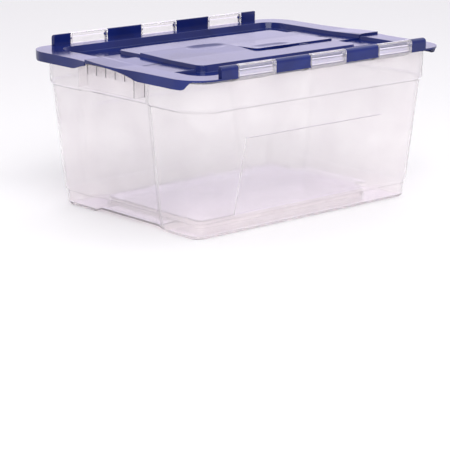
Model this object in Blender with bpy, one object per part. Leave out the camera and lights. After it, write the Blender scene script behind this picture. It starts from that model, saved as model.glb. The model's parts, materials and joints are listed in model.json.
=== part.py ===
"""Storage tote with an attached two-flap lid.

A clear moulded tub carries three hinge boxes on each long side. Two identical flaps, turned half a
turn from each other, clip into the hinge boxes with short moulded pins and meet along a stepped seam.

Frame: origin on the floor under the middle of the tub, +X along the long sides, +Z up.
The front of the tote faces -Y.
"""

import math

import bmesh
import bpy
from mathutils import Matrix, Vector

MM = 0.001

# Overall sizes
RIM_Z = 261 * MM                 # top of the closed lid's flange
HINGE_Y = 209.5 * MM             # hinge axis, out from the middle
HINGE_DEPTH = 4.5 * MM           # knuckles and hinge boxes reach this far either side of the axis
HINGE_RISE = 9 * MM              # hinge axis above the flange
TOUCH_GAP = 0.3 * MM             # gap kept between pieces that touch

# Tub
WALL = 2.2 * MM
BASE_HALF = Vector((242, 173)) * MM       # half length and half width of the walls at the floor
WALL_TAPER = 0.106                        # outward lean of the walls per unit of height
BASE_CORNER = 24 * MM
FOOT_STEP = 2.5 * MM                      # the foot is this much slimmer than the wall above it
FOOT_TOP = 25 * MM
FOOT_WIDTH = 52 * MM
FOOT_EDGE = 4 * MM                        # the foot's outer edge is rounded over this much
FOOT_CHAMFER = 1.2 * MM
RISER_DRAFT = 2 * MM                      # lean of the riser between the foot and the floor
TROUGH_CORNER = 12 * MM                   # smallest corner radius of the foot's inner rings
FOOT_HEIGHT = 12 * MM                     # underside of the middle of the floor
END_LIFT = 5.5 * MM                       # the foot is lifted by this at the two ends
DENT_DEPTH = 7 * MM                       # ends are set back between the corner pillars
DENT_HALF_LOW = 90 * MM
DENT_HALF_HIGH = 88 * MM
DENT_RAMP = 17 * MM
INSET_DEPTH = 3 * MM                      # shallow panel in the long sides
INSET_TOP = 157 * MM
INSET_BLEND = 3 * MM                      # height of the steps from the foot to the wall and to the panel
INSET_HALF_LOW = 166 * MM
INSET_HALF_HIGH = 150 * MM
INSET_RAMP = 4 * MM
INSET_STEP = 1.5 * MM                     # height of the step at the panel's top edge
COLLAR_Z = 207 * MM
COLLAR_HALF = Vector((268, 199)) * MM
COLLAR_TOP_HALF = Vector((268.5, 199.5)) * MM
COLLAR_CORNER = 50 * MM
COLLAR_BLEND = 2 * MM                     # the wall turns out to the collar over this height each way
RIM_HALF = Vector((274, 202.5)) * MM
RIM_CORNER = 55 * MM
RIM_THICKNESS = 3 * MM
CORNER_STEPS = 6

# Hand grips at the two ends of the tub
GRIP_REACH = 283 * MM                     # outer face of the grip from the middle
GRIP_HALF = 72 * MM
GRIP_BOTTOM = 217 * MM
GRIP_RIB_BOTTOM = 240 * MM
GRIP_CELLS = 6
GRIP_RIB = 2 * MM

# Hinge: where each run ends along X, from the middle outwards
HINGE_STOPS = [40.1 * MM, 114 * MM, 193.8 * MM, 228 * MM]
HINGE_SIDE_GAP = 0.6 * MM
HINGE_NOTCH = 0.8 * MM               # the flap's gaps clear the hinge boxes by this
HINGE_BOX_BOTTOM = 249 * MM
HINGE_BOX_SLOPE = 8 * MM         # the box's underside climbs by this to its outer face
HINGE_SINK = 4 * MM              # the hinge boxes step out over the wall this far below the flange
HINGE_PLATE = 2.5 * MM
PIN_RADIUS = 2.5 * MM
PIN_HOLE_RADIUS = 2.9 * MM
PIN_REACH = 4.1 * MM
PIN_ROOT = 2 * MM                    # the pins are rooted this deep in their knuckle
HINGE_ROOT = 191 * MM                # the boxes grow out of the wall from here
BOX_ROUND = 4 * MM
KNUCKLE_ROUND = 7 * MM               # outer top edge of a knuckle
KNUCKLE_EDGE = 1.5 * MM              # its inner top edge
ROUND_SIDES = 16

# Lid
LID_THICKNESS = 2.4 * MM
LID_HALF = Vector((285, 214)) * MM
LID_CORNER = 50 * MM
LID_BULGE = 8 * MM                        # the flange swells by this over each hand grip
BULGE_HALF = 95 * MM
EDGE_STATIONS = (0.08, 0.17, 0.24, 0.3, 0.36, 0.42, 0.475, 0.56, 0.8)   # shares of the end's half width
FLANGE_INNER = Vector((244, 181)) * MM
FLANGE_INNER_CORNER = 30 * MM
PANEL_HALF = Vector((175, 105)) * MM
PANEL_CORNER = 14 * MM
CHANNEL_DEPTH = 11 * MM
CHANNEL_DRAFT = 3 * MM
LAND_DEPTH = 6 * MM                       # raised floor of the channel at the two ends
LAND_HALF = 96 * MM
LAND_WALL = 3.5 * MM
EDGE_BEAD = 0.6 * MM                      # small turned-down bead round the flange
SKIRT_DEPTH = 16 * MM
SKIRT_END = 2.6                           # corner steps round which the skirt runs before it ends
ARCH_HALF = 78 * MM
ARCH_DEPTH = 3.2 * MM
ARCH_POWER = 2.3                     # how late the skirt's arch turns down
SEAM_Y = 45 * MM                          # the seam is this far behind (left) or before (right) the middle
SEAM_GAP = 1.0 * MM                       # each flap stops this far short of the seam
SEAM_ROUND = 8 * MM
RAMP_START = -34 * MM                     # from here to its free edge the flap's tongue rises gently
PANEL_RISE = 2.4 * MM
FLANGE_RISE = 3.4 * MM
PAD_CENTRE = Vector((-49, 28)) * MM       # shallow thumb pad in the tongue, by its free edge
PAD_RADII = Vector((60, 26, 6)) * MM
PAD_DEPTH = 1.5 * MM
RECESS_CENTRE = Vector((43, -40)) * MM    # finger recess under the other flap's free edge
RECESS_RADII = Vector((50, 18, 9)) * MM
RIB_REACH = (-90 * MM, -4 * MM)           # rib hanging from the tongue's free edge, behind the recess
RIB_DEPTH = 9 * MM

# Looks (linear colours)
CLEAR_COLOUR = (0.86, 0.82, 0.86)
CLEAR_ROUGHNESS = 0.22
CLEAR_TRANSMISSION = 0.75
NAVY_COLOUR = (0.013, 0.032, 0.188)
NAVY_ROUGHNESS = 0.28
PLASTIC_IOR = 1.49

# How far shapes that are joined or cut reach into or past each other
SLAB_BITE = 1 * MM
SLAB_STEP = 0.1 * MM
CUT_REACH = 5 * MM
CUT_MARGIN = 30 * MM


# ---------------------------------------------------------------- mesh helpers

def clear_scene():
    for item in list(bpy.data.objects):
        bpy.data.objects.remove(item, do_unlink=True)


def add_object(name, bm):
    """Make an object called name from a bmesh, with its faces pointing out."""
    bmesh.ops.recalc_face_normals(bm, faces=bm.faces)
    mesh = bpy.data.meshes.new(name)
    bm.to_mesh(mesh)
    bm.free()
    made = bpy.data.objects.new(name, mesh)
    bpy.context.scene.collection.objects.link(made)
    return made


def combine(target, tool, operation):
    """Boolean the tool into the target and remove the tool."""
    boolean = target.modifiers.new("shape", "BOOLEAN")
    boolean.operation = operation
    boolean.solver = "EXACT"
    boolean.object = tool
    shaped = target.evaluated_get(bpy.context.evaluated_depsgraph_get())
    mesh = bpy.data.meshes.new_from_object(shaped)
    target.modifiers.clear()
    old_mesh = target.data
    target.data = mesh
    bpy.data.meshes.remove(old_mesh)
    bpy.data.objects.remove(tool, do_unlink=True)


def full_ring(quarter):
    """Mirror the points of the +X +Y quarter, which run from the X axis to the Y axis, to a ring."""
    second = [(-x, y, z) for x, y, z in reversed(quarter)]
    third = [(-x, -y, z) for x, y, z in quarter]
    fourth = [(x, -y, z) for x, y, z in reversed(quarter)]
    return list(quarter) + second + third + fourth


def corner_arc(half, radius, z):
    """Points of the rounded corner in the +X +Y quarter."""
    points = []
    for step in range(CORNER_STEPS + 1):
        angle = math.radians(90) * step / CORNER_STEPS
        x = half[0] - radius + radius * math.cos(angle)
        y = half[1] - radius + radius * math.sin(angle)
        points.append((x, y, z))
    return points


def loft(name, rings):
    """A closed solid through rings of equal point count, capped at both ends."""
    bm = bmesh.new()
    loops = [[bm.verts.new(point) for point in ring] for ring in rings]
    count = len(loops[0])
    for lower, upper in zip(loops, loops[1:]):
        for i in range(count):
            j = (i + 1) % count
            bm.faces.new((lower[i], lower[j], upper[j], upper[i]))
    bm.faces.new(loops[0])
    bm.faces.new(loops[-1])
    return add_object(name, bm)


def box(name, low, high):
    """An upright box between two corners."""
    bm = bmesh.new()
    middle = (Vector(low) + Vector(high)) / 2
    size = Vector(high) - Vector(low)
    bmesh.ops.create_cube(bm, size=1, matrix=Matrix.Translation(middle) @ Matrix.Diagonal((*size, 1)))
    return add_object(name, bm)


def extrude_along_x(name, outline, start, end):
    """Extrude a closed (y, z) outline from x = start to x = end."""
    rings = [[(x, y, z) for y, z in outline] for x in (start, end)]
    return loft(name, rings)


def extrude_up(name, outline, low, high):
    """Extrude a closed (x, y) outline from z = low to z = high."""
    rings = [[(x, y, z) for x, y in outline] for z in (low, high)]
    return loft(name, rings)


def round_bar(name, radius, start, end, y, z):
    """A round bar along X."""
    outline = []
    for step in range(ROUND_SIDES):
        angle = 2 * math.pi * step / ROUND_SIDES
        outline.append((y + radius * math.cos(angle), z + radius * math.sin(angle)))
    return extrude_along_x(name, outline, start, end)


def ellipsoid(name, centre, radii):
    bm = bmesh.new()
    place = Matrix.Translation(centre) @ Matrix.Diagonal((*radii, 1))
    bmesh.ops.create_uvsphere(bm, u_segments=32, v_segments=16, radius=1, matrix=place)
    return add_object(name, bm)


def rounded_corner(centre, radius, from_degrees, to_degrees, steps):
    """Points of an arc, from one angle to another."""
    points = []
    for step in range(steps + 1):
        angle = math.radians(from_degrees + (to_degrees - from_degrees) * step / steps)
        points.append((centre[0] + radius * math.cos(angle), centre[1] + radius * math.sin(angle)))
    return points


def finish(made, material):
    """Give the piece its material and shade it smooth, with its edges kept sharp."""
    made.data.materials.clear()
    made.data.materials.append(material)
    made.data.shade_smooth()
    made.data.set_sharp_from_angle(angle=math.radians(30))


def plastic(name, colour, roughness, transmission):
    material = bpy.data.materials.new(name)
    material.use_nodes = True
    shader = material.node_tree.nodes["Principled BSDF"]
    shader.inputs["Base Color"].default_value = (*colour, 1)
    shader.inputs["Roughness"].default_value = roughness
    shader.inputs["Metallic"].default_value = 0
    shader.inputs["IOR"].default_value = PLASTIC_IOR
    shader.inputs["Transmission Weight"].default_value = transmission
    return material


# ---------------------------------------------------------------- tub

def tub_ring(z, half, corner, dent=0.0, inset=0.0, lift=0.0):
    """One level of the tub: a rounded rectangle with the ends dented and the long sides inset."""
    rise = z / COLLAR_Z
    dent_half = DENT_HALF_LOW + (DENT_HALF_HIGH - DENT_HALF_LOW) * min(rise, 1)
    inset_half = INSET_HALF_LOW + (INSET_HALF_HIGH - INSET_HALF_LOW) * min(z / INSET_TOP, 1)
    quarter = [(half[0] - dent, dent_half - DENT_RAMP, z + lift), (half[0], dent_half, z)]
    quarter += corner_arc(half, corner, z)
    quarter += [(inset_half + INSET_RAMP, half[1], z), (inset_half, half[1] - inset, z)]
    return full_ring(quarter)


def wall_ring(z, inward, dent=0.0, inset=0.0, lift=0.0):
    """A level of the leaning wall, moved inward by a distance."""
    lean = WALL_TAPER * z - inward
    half = BASE_HALF + Vector((lean, lean))
    return tub_ring(z, half, BASE_CORNER + lean, dent, inset, lift)


def collar_ring(z, half, inward):
    half = half - Vector((inward, inward))
    return tub_ring(z, half, COLLAR_CORNER - inward, DENT_DEPTH)


def foot_ring(z, inward, lift):
    """A level of the foot or of the trough inside it."""
    half = BASE_HALF - Vector((inward, inward))
    corner = max(BASE_CORNER - inward, TROUGH_CORNER)
    return tub_ring(z, half, corner, 0.0, 0.0, lift)


def tub_skin(inward):
    """The levels of one skin of the tub's wall, from the foot's top to the collar's top."""
    return [
        wall_ring(FOOT_TOP + INSET_BLEND, inward, DENT_DEPTH),
        wall_ring(FOOT_TOP + 2 * INSET_BLEND, inward, DENT_DEPTH, INSET_DEPTH),
        wall_ring(INSET_TOP - INSET_STEP, inward, DENT_DEPTH, INSET_DEPTH),
        wall_ring(INSET_TOP, inward, DENT_DEPTH),
        wall_ring(COLLAR_Z - COLLAR_BLEND, inward, DENT_DEPTH),
        collar_ring(COLLAR_Z + COLLAR_BLEND, COLLAR_HALF, inward),
        collar_ring(RIM_Z - LID_THICKNESS - TOUCH_GAP - RIM_THICKNESS, COLLAR_TOP_HALF, inward),
    ]


def tub_shell():
    """The thin-walled tub with its raised floor, foot and rim."""
    rim_top = RIM_Z - LID_THICKNESS - TOUCH_GAP
    foot_edge = FOOT_STEP + FOOT_EDGE
    riser = FOOT_STEP + FOOT_WIDTH
    rings = [
        foot_ring(FOOT_HEIGHT, riser + RISER_DRAFT, 0.0),
        foot_ring(0.0, riser, END_LIFT),
        foot_ring(0.0, foot_edge, END_LIFT),
        wall_ring(FOOT_CHAMFER, FOOT_STEP + FOOT_CHAMFER, DENT_DEPTH, 0.0, END_LIFT),
        wall_ring(FOOT_EDGE, FOOT_STEP, DENT_DEPTH, 0.0, END_LIFT),
        wall_ring(FOOT_TOP, FOOT_STEP, DENT_DEPTH),
    ]
    rings += tub_skin(0.0)
    rings += [
        tub_ring(rim_top - RIM_THICKNESS, RIM_HALF, RIM_CORNER),
        tub_ring(rim_top, RIM_HALF, RIM_CORNER),
        collar_ring(rim_top, COLLAR_TOP_HALF, WALL),
    ]
    rings += list(reversed(tub_skin(WALL)))
    rings += [
        wall_ring(FOOT_TOP, FOOT_STEP + WALL, DENT_DEPTH),
        wall_ring(FOOT_EDGE + 1 * MM, FOOT_STEP + WALL, DENT_DEPTH, 0.0, END_LIFT),
        foot_ring(WALL, foot_edge + WALL, END_LIFT),
        foot_ring(WALL, riser - WALL, END_LIFT),
        foot_ring(FOOT_HEIGHT + WALL, riser - WALL + RISER_DRAFT, 0.0),
    ]
    return loft("tub", rings)


def add_hinge_boxes(tub):
    """Three hollow hinge boxes on each long side, with pin holes in their end plates."""
    axis_z = RIM_Z + HINGE_RISE
    top = axis_z + HINGE_RISE
    inner = HINGE_Y - HINGE_DEPTH
    outer = HINGE_Y + HINGE_DEPTH
    root = HINGE_ROOT
    profile = [(root, HINGE_BOX_BOTTOM), (outer, HINGE_BOX_BOTTOM + HINGE_BOX_SLOPE)]
    profile += rounded_corner((outer - BOX_ROUND, top - BOX_ROUND), BOX_ROUND, 0, 90, 4)
    profile += [(inner, top), (inner, RIM_Z - HINGE_SINK), (root, RIM_Z - HINGE_SINK)]
    spans = [
        (-HINGE_STOPS[2], -HINGE_STOPS[1]),
        (-HINGE_STOPS[0], HINGE_STOPS[0]),
        (HINGE_STOPS[1], HINGE_STOPS[2]),
    ]
    for side in (-1, 1):
        outline = [(side * y, z) for y, z in profile]
        for low, high in spans:
            start = low + HINGE_SIDE_GAP
            end = high - HINGE_SIDE_GAP
            combine(tub, extrude_along_x("hinge_box", outline, start, end), "UNION")
            cell = (start + HINGE_PLATE, end - HINGE_PLATE)
            faces = sorted((side * (inner - SLAB_BITE), side * (outer - WALL)))
            combine(tub, box("upper_cell", (cell[0], faces[0], RIM_Z), (cell[1], faces[1], top - WALL)),
                    "DIFFERENCE")
            faces = sorted((side * (inner + WALL), side * (outer - WALL)))
            combine(tub, box("lower_cell", (cell[0], faces[0], HINGE_BOX_BOTTOM - CUT_REACH),
                             (cell[1], faces[1], RIM_Z - WALL)), "DIFFERENCE")
            combine(tub, round_bar("pin_hole", PIN_HOLE_RADIUS, start - SLAB_BITE, end + SLAB_BITE,
                                   side * HINGE_Y, axis_z), "DIFFERENCE")


def add_hand_grips(tub):
    """A hollow grip at each end, open underneath, with ribs across it."""
    rim_top = RIM_Z - LID_THICKNESS - TOUCH_GAP
    root = COLLAR_HALF[0] - DENT_DEPTH - SLAB_BITE
    hollow = COLLAR_TOP_HALF[0] - DENT_DEPTH + GRIP_RIB / 4
    for side in (-1, 1):
        reach = sorted((side * root, side * GRIP_REACH))
        combine(tub, box("grip", (reach[0], -GRIP_HALF, GRIP_BOTTOM), (reach[1], GRIP_HALF, rim_top)),
                "UNION")
        span = sorted((side * hollow, side * (GRIP_REACH - WALL)))
        inside = GRIP_HALF - WALL
        combine(tub, box("grip_mouth", (span[0], -inside, GRIP_BOTTOM - CUT_REACH),
                         (span[1], inside, GRIP_RIB_BOTTOM)), "DIFFERENCE")
        pitch = (2 * inside + GRIP_RIB) / GRIP_CELLS
        for cell in range(GRIP_CELLS):
            start = -inside + cell * pitch
            combine(tub, box("grip_cell", (span[0], start, GRIP_RIB_BOTTOM - SLAB_BITE),
                             (span[1], start + pitch - GRIP_RIB, rim_top - RIM_THICKNESS)), "DIFFERENCE")


def make_tub(material):
    tub = tub_shell()
    add_hinge_boxes(tub)
    add_hand_grips(tub)
    finish(tub, material)
    return tub


# ---------------------------------------------------------------- flaps

def skirt_depth(y):
    """How far the flange's edge hangs down at a place along the end of the lid."""
    along = min(abs(y) / ARCH_HALF, 1)
    return ARCH_DEPTH + (SKIRT_DEPTH - ARCH_DEPTH) * along ** ARCH_POWER


def lid_ring(half, corner, z, bulge=0.0, hang=0.0):
    """One ring of the lid. With hang, its ends drop by the depth of the skirt."""
    straight = half[1] - corner
    quarter = []
    for fraction in EDGE_STATIONS:
        y = fraction * straight
        swell = 0.0
        if y < BULGE_HALF:
            swell = bulge * (1 + math.cos(math.pi * y / BULGE_HALF)) / 2
        drop = hang * (skirt_depth(y) - LID_THICKNESS)
        quarter.append((half[0] + swell, y, z - drop))
    for step, (x, y, level) in enumerate(corner_arc(half, corner, z)):
        fall = max(0.0, min(1.0, SKIRT_END - step))
        drop = hang * max(fall * (SKIRT_DEPTH - LID_THICKNESS), EDGE_BEAD)
        quarter.append((x, y, level - drop))
    return full_ring(quarter)


def lid_shell():
    """The whole lid before it is parted: panel, channel, flange and end skirts, as one thin shell."""
    low = RIM_Z - CHANNEL_DEPTH
    draft = Vector((CHANNEL_DRAFT, CHANNEL_DRAFT))
    skin = Vector((LID_THICKNESS, LID_THICKNESS))
    under = RIM_Z - LID_THICKNESS
    rings = [
        lid_ring(PANEL_HALF, PANEL_CORNER, RIM_Z),
        lid_ring(PANEL_HALF + draft, PANEL_CORNER + CHANNEL_DRAFT, low),
        lid_ring(FLANGE_INNER - draft, FLANGE_INNER_CORNER - CHANNEL_DRAFT, low),
        lid_ring(FLANGE_INNER, FLANGE_INNER_CORNER, RIM_Z),
        lid_ring(LID_HALF, LID_CORNER, RIM_Z, LID_BULGE),
        lid_ring(LID_HALF, LID_CORNER, under, LID_BULGE, 1.0),
        lid_ring(LID_HALF - skin, LID_CORNER - LID_THICKNESS, under, LID_BULGE, 1.0),
        lid_ring(LID_HALF - skin, LID_CORNER - LID_THICKNESS, under, LID_BULGE),
        lid_ring(FLANGE_INNER + skin, FLANGE_INNER_CORNER + LID_THICKNESS, under),
        lid_ring(FLANGE_INNER - draft + skin, FLANGE_INNER_CORNER, low - LID_THICKNESS),
        lid_ring(PANEL_HALF + draft - skin, PANEL_CORNER, low - LID_THICKNESS),
        lid_ring(PANEL_HALF - skin, PANEL_CORNER - LID_THICKNESS, under),
    ]
    return loft("front_flap", rings)


def tongue_profile(level, rise):
    """The (y, z) outline of a slab whose top climbs from a level towards the tongue's free edge."""
    past = SEAM_Y + SLAB_BITE
    bottom = level - SLAB_BITE
    crest = level + rise * (past - RAMP_START) / (SEAM_Y - RAMP_START)
    return [(RAMP_START, bottom), (past, bottom), (past, crest), (RAMP_START, level - SLAB_STEP)]


def add_tongue_rise(lid):
    """Raise the tongue, on the panel and on the flange, so that its free edge stands above the other flap."""
    panel = extrude_along_x("panel_rise", tongue_profile(RIM_Z, PANEL_RISE),
                            -PANEL_HALF[0] + TOUCH_GAP, SEAM_GAP)
    combine(lid, panel, "UNION")
    edge = [(x, y) for x, y, _ in lid_ring(LID_HALF, LID_CORNER, RIM_Z, LID_BULGE)]
    flange = extrude_along_x("flange_rise", tongue_profile(RIM_Z, FLANGE_RISE),
                             -LID_HALF[0] - 2 * LID_BULGE, -FLANGE_INNER[0] - TOUCH_GAP)
    combine(flange, extrude_up("flange_edge", edge, RIM_Z - 2 * SLAB_BITE, RIM_Z + 2 * FLANGE_RISE), "INTERSECT")
    combine(lid, flange, "UNION")


def part_front(lid):
    """Keep the front flap: it reaches past the middle on the left and stops short on the right."""
    far_x = LID_HALF[0] + CUT_MARGIN
    far_y = -(LID_HALF[1] + CUT_MARGIN)
    back = SEAM_Y - SEAM_GAP
    short = -SEAM_Y - SEAM_GAP
    outline = [(-far_x, far_y), (far_x, far_y), (far_x, short)]
    inner = (-SEAM_GAP + SEAM_ROUND, short + SEAM_ROUND)
    outline += rounded_corner(inner, SEAM_ROUND, 270, 180, 5)
    outer = (-SEAM_GAP - SEAM_ROUND, back - SEAM_ROUND)
    outline += rounded_corner(outer, SEAM_ROUND, 0, 90, 5)
    outline.append((-far_x, back))
    combine(lid, extrude_up("front_part", outline, RIM_Z - CUT_MARGIN, RIM_Z + CUT_MARGIN), "INTERSECT")


def add_end_lands(flap):
    """Raise the channel floor at the two ends, and keep it a thin shell from below."""
    low = RIM_Z - CHANNEL_DEPTH
    top = RIM_Z - LAND_DEPTH
    inner = PANEL_HALF[0] + SLAB_BITE
    outer = FLANGE_INNER[0] - SLAB_BITE
    ends = {-1: SEAM_Y - SEAM_GAP - TOUCH_GAP, 1: -SEAM_Y - SEAM_GAP - TOUCH_GAP}
    for side, back in ends.items():
        outline = [(-LAND_HALF, low - LID_THICKNESS / 2), (back, low - LID_THICKNESS / 2)]
        if side < 0:
            outline += [(back, top + PANEL_RISE), (RAMP_START, top), (-LAND_HALF, top)]
        else:
            outline += [(back, top), (-LAND_HALF, top)]
        span = sorted((side * inner, side * outer))
        combine(flap, extrude_along_x("land", outline, *span), "UNION")
        span = sorted((side * (inner + LAND_WALL), side * (outer - LAND_WALL)))
        combine(flap, box("under_land", (span[0], -LAND_HALF + LAND_WALL, low - 2 * LID_THICKNESS),
                          (span[1], back - LAND_WALL, top - LID_THICKNESS)), "DIFFERENCE")


def add_thumb_pad(flap):
    """A shallow dish by the tongue's free edge, and a rib hanging from that edge."""
    back = SEAM_Y - SEAM_GAP
    slope = PANEL_RISE / (back - RAMP_START)
    surface = RIM_Z + slope * (PAD_CENTRE[1] - RAMP_START)
    centre = (*PAD_CENTRE, surface + PAD_RADII[2] - PAD_DEPTH)
    rib = box("rib", (RIB_REACH[0], back - LID_THICKNESS, RIM_Z - RIB_DEPTH),
              (RIB_REACH[1] - SEAM_ROUND, back, RIM_Z - SLAB_STEP))
    combine(flap, rib, "UNION")
    combine(flap, ellipsoid("pad", centre, PAD_RADII), "DIFFERENCE")


def add_finger_recess(flap):
    """A thin bowl at the edge of the flap's short part, where fingers reach under the other flap."""
    edge = -SEAM_Y - SEAM_GAP - TOUCH_GAP
    centre = Vector((*RECESS_CENTRE, RIM_Z))
    skin = Vector((LID_THICKNESS, LID_THICKNESS, LID_THICKNESS))
    bowl = ellipsoid("bowl", centre, RECESS_RADII + skin)
    reach = RECESS_RADII + 2 * skin
    keep = box("bowl_part", centre - reach, (centre[0] + reach[0], edge, RIM_Z - SLAB_BITE))
    combine(bowl, keep, "INTERSECT")
    combine(flap, bowl, "UNION")
    hollow = ellipsoid("recess", centre, RECESS_RADII)
    above = box("recess_part", centre - reach, (centre[0] + reach[0], edge + 2 * SEAM_GAP, RIM_Z + reach[2]))
    combine(hollow, above, "INTERSECT")
    combine(flap, hollow, "DIFFERENCE")


def add_knuckles(flap):
    """Four hinge knuckles with pin stubs, and the gaps where the tub's hinge boxes stand."""
    axis_z = RIM_Z + HINGE_RISE
    inner = HINGE_Y - HINGE_DEPTH
    outer = HINGE_Y + HINGE_DEPTH
    boxes = [
        (-HINGE_STOPS[2], -HINGE_STOPS[1]),
        (-HINGE_STOPS[0], HINGE_STOPS[0]),
        (HINGE_STOPS[1], HINGE_STOPS[2]),
    ]
    for low, high in boxes:
        combine(flap, box("hinge_gap", (low, -LID_HALF[1] - CUT_REACH, RIM_Z - 2 * CUT_REACH),
                          (high, -inner + HINGE_NOTCH, axis_z + CUT_MARGIN)), "DIFFERENCE")
    top = axis_z + HINGE_RISE
    bottom = RIM_Z - SLAB_BITE
    outline = [(-inner, bottom)]
    outline += rounded_corner((-inner - KNUCKLE_EDGE, top - KNUCKLE_EDGE), KNUCKLE_EDGE, 0, 90, 2)
    outline += rounded_corner((-outer + KNUCKLE_ROUND, top - KNUCKLE_ROUND), KNUCKLE_ROUND, 90, 180, 5)
    outline.append((-outer + SLAB_STEP, bottom))
    knuckles = [
        (-HINGE_STOPS[3], -HINGE_STOPS[2], False, True),
        (-HINGE_STOPS[1], -HINGE_STOPS[0], True, True),
        (HINGE_STOPS[0], HINGE_STOPS[1], True, True),
        (HINGE_STOPS[2], HINGE_STOPS[3], True, False),
    ]
    for low, high, pin_low, pin_high in knuckles:
        combine(flap, extrude_along_x("knuckle", outline, low, high), "UNION")
        if pin_low:
            combine(flap, round_bar("pin", PIN_RADIUS, low - PIN_REACH, low + PIN_ROOT, -HINGE_Y, axis_z),
                    "UNION")
        if pin_high:
            combine(flap, round_bar("pin", PIN_RADIUS, high - PIN_ROOT, high + PIN_REACH, -HINGE_Y, axis_z),
                    "UNION")


def make_flaps(material):
    """The front flap, and the back flap as the same moulding turned half a turn."""
    front = lid_shell()
    add_tongue_rise(front)
    part_front(front)
    add_end_lands(front)
    add_thumb_pad(front)
    add_finger_recess(front)
    add_knuckles(front)
    finish(front, material)
    hinge = Vector((0, -HINGE_Y, RIM_Z + HINGE_RISE))
    front.data.transform(Matrix.Translation(-hinge))
    front.location = hinge
    back = bpy.data.objects.new("back_flap", front.data)
    bpy.context.scene.collection.objects.link(back)
    back.location = Vector((0, HINGE_Y, RIM_Z + HINGE_RISE))
    back.rotation_euler = (0, 0, math.pi)
    return front, back


def main():
    clear_scene()
    clear_plastic = plastic("clear_polypropylene", CLEAR_COLOUR, CLEAR_ROUGHNESS, CLEAR_TRANSMISSION)
    navy_plastic = plastic("navy_polypropylene", NAVY_COLOUR, NAVY_ROUGHNESS, 0.0)
    tub = make_tub(clear_plastic)
    flaps = make_flaps(navy_plastic)
    tote = bpy.data.objects.new("tote", None)
    bpy.context.scene.collection.objects.link(tote)
    for piece in (tub, *flaps):
        piece.parent = tote


main()
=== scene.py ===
"""A clear storage tote with a navy two-flap lid, finished for a studio picture."""

import json
import math

import bmesh
import bpy
from mathutils import Matrix, Vector


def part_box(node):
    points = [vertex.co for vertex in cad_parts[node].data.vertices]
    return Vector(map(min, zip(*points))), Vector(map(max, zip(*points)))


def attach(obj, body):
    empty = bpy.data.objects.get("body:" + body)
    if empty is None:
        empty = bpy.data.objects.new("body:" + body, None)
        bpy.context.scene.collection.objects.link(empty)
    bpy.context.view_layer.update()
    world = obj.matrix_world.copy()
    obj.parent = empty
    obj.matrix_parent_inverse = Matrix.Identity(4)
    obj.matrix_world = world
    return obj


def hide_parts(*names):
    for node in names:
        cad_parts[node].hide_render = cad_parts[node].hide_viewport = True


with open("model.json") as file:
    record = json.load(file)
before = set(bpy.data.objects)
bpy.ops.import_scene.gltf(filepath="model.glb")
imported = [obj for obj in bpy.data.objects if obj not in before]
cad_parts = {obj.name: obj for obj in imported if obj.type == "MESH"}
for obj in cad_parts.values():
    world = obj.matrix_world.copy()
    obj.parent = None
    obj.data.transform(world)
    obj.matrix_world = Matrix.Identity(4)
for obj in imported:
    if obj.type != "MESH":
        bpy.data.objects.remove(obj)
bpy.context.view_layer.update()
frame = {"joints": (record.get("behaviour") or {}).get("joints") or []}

bl_info = {
    "name": "Two-flap storage tote",
    "version": (1, 0, 0),
    "blender": (4, 5, 0),
    "location": "View3D > Sidebar > Tote",
    "description": "Builds a clear storage tote with a hinged navy lid, and its studio",
    "category": "Add Mesh",
}

MM = 0.001
TUB_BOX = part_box("tub")
LID_BOX = (
    Vector(min(a, b) for a, b in zip(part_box("front_flap")[0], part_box("back_flap")[0])),
    Vector(max(a, b) for a, b in zip(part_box("front_flap")[1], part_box("back_flap")[1])),
)
HINGE = {joint["child"]: Vector(joint["pos_m"]) for joint in frame["joints"]}

# Hinge line, from the frame
AXIS_Y = HINGE["back_flap"].y
AXIS_Z = HINGE["back_flap"].z
KNUCKLE_HALF = LID_BOX[1].z - AXIS_Z       # knuckles rise this far above the hinge line
KNUCKLE_DEPTH = 4.5 * MM                   # and reach this far either side of it
KNUCKLE_ROUND = 7 * MM                     # their outer top edge
RIM_Z = AXIS_Z - KNUCKLE_HALF              # top of the closed lid's flange

# Tub
TAPER = 0.106                              # outward lean of the walls per unit of height
BASE_HALF = Vector((242, 173)) * MM
BASE_CORNER = 24 * MM
FOOT_STEP = 2.5 * MM                       # the foot is this much slimmer than the wall above it
FOOT_TOP = 25 * MM
FOOT_WIDTH = 52 * MM
FOOT_EDGE = 4 * MM                         # the foot's outer edge turns in over this much
RISER_DRAFT = 2 * MM                       # lean of the riser between the foot and the floor
TROUGH_CORNER = 12 * MM                    # smallest corner of the foot's inner rings
FLOOR_RISE = 12 * MM
END_LIFT = 5.5 * MM                        # the foot's ends are lifted by this
LEVEL_SOFT = 1.6 * MM                      # rounding between the tub's levels
DENT_DEPTH = 7 * MM                        # the ends are set back between the corner pillars
DENT_HALF = (90 * MM, 88 * MM)             # low down and at the collar
DENT_RAMP = 17 * MM
DENT_SOFT = 2.5 * MM
INSET_DEPTH = 3 * MM                       # shallow panel in the long sides
INSET_START = (3 * MM, 7 * MM)             # the wall, then the panel, begin this far above the foot
INSET_TOP = 157 * MM
INSET_HALF = (166 * MM, 150 * MM)
INSET_RAMP = 4 * MM
INSET_STEP = 1.5 * MM                      # height of the step at the panel's top edge
CORNER_RUN = 2 * MM                        # straight stretch before each rounded corner, and its softening
COLLAR_Z = 207 * MM
COLLAR_BLEND = 2 * MM                      # the wall turns out to the collar over this height each way
COLLAR_HALF = Vector((268, 199)) * MM
COLLAR_TOP_HALF = Vector((268.5, 199.5)) * MM
COLLAR_CORNER = 50 * MM
RIM_HALF = Vector((274, 202.5)) * MM
RIM_THICK = 3 * MM
LID_GAP = 0.3 * MM

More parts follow.
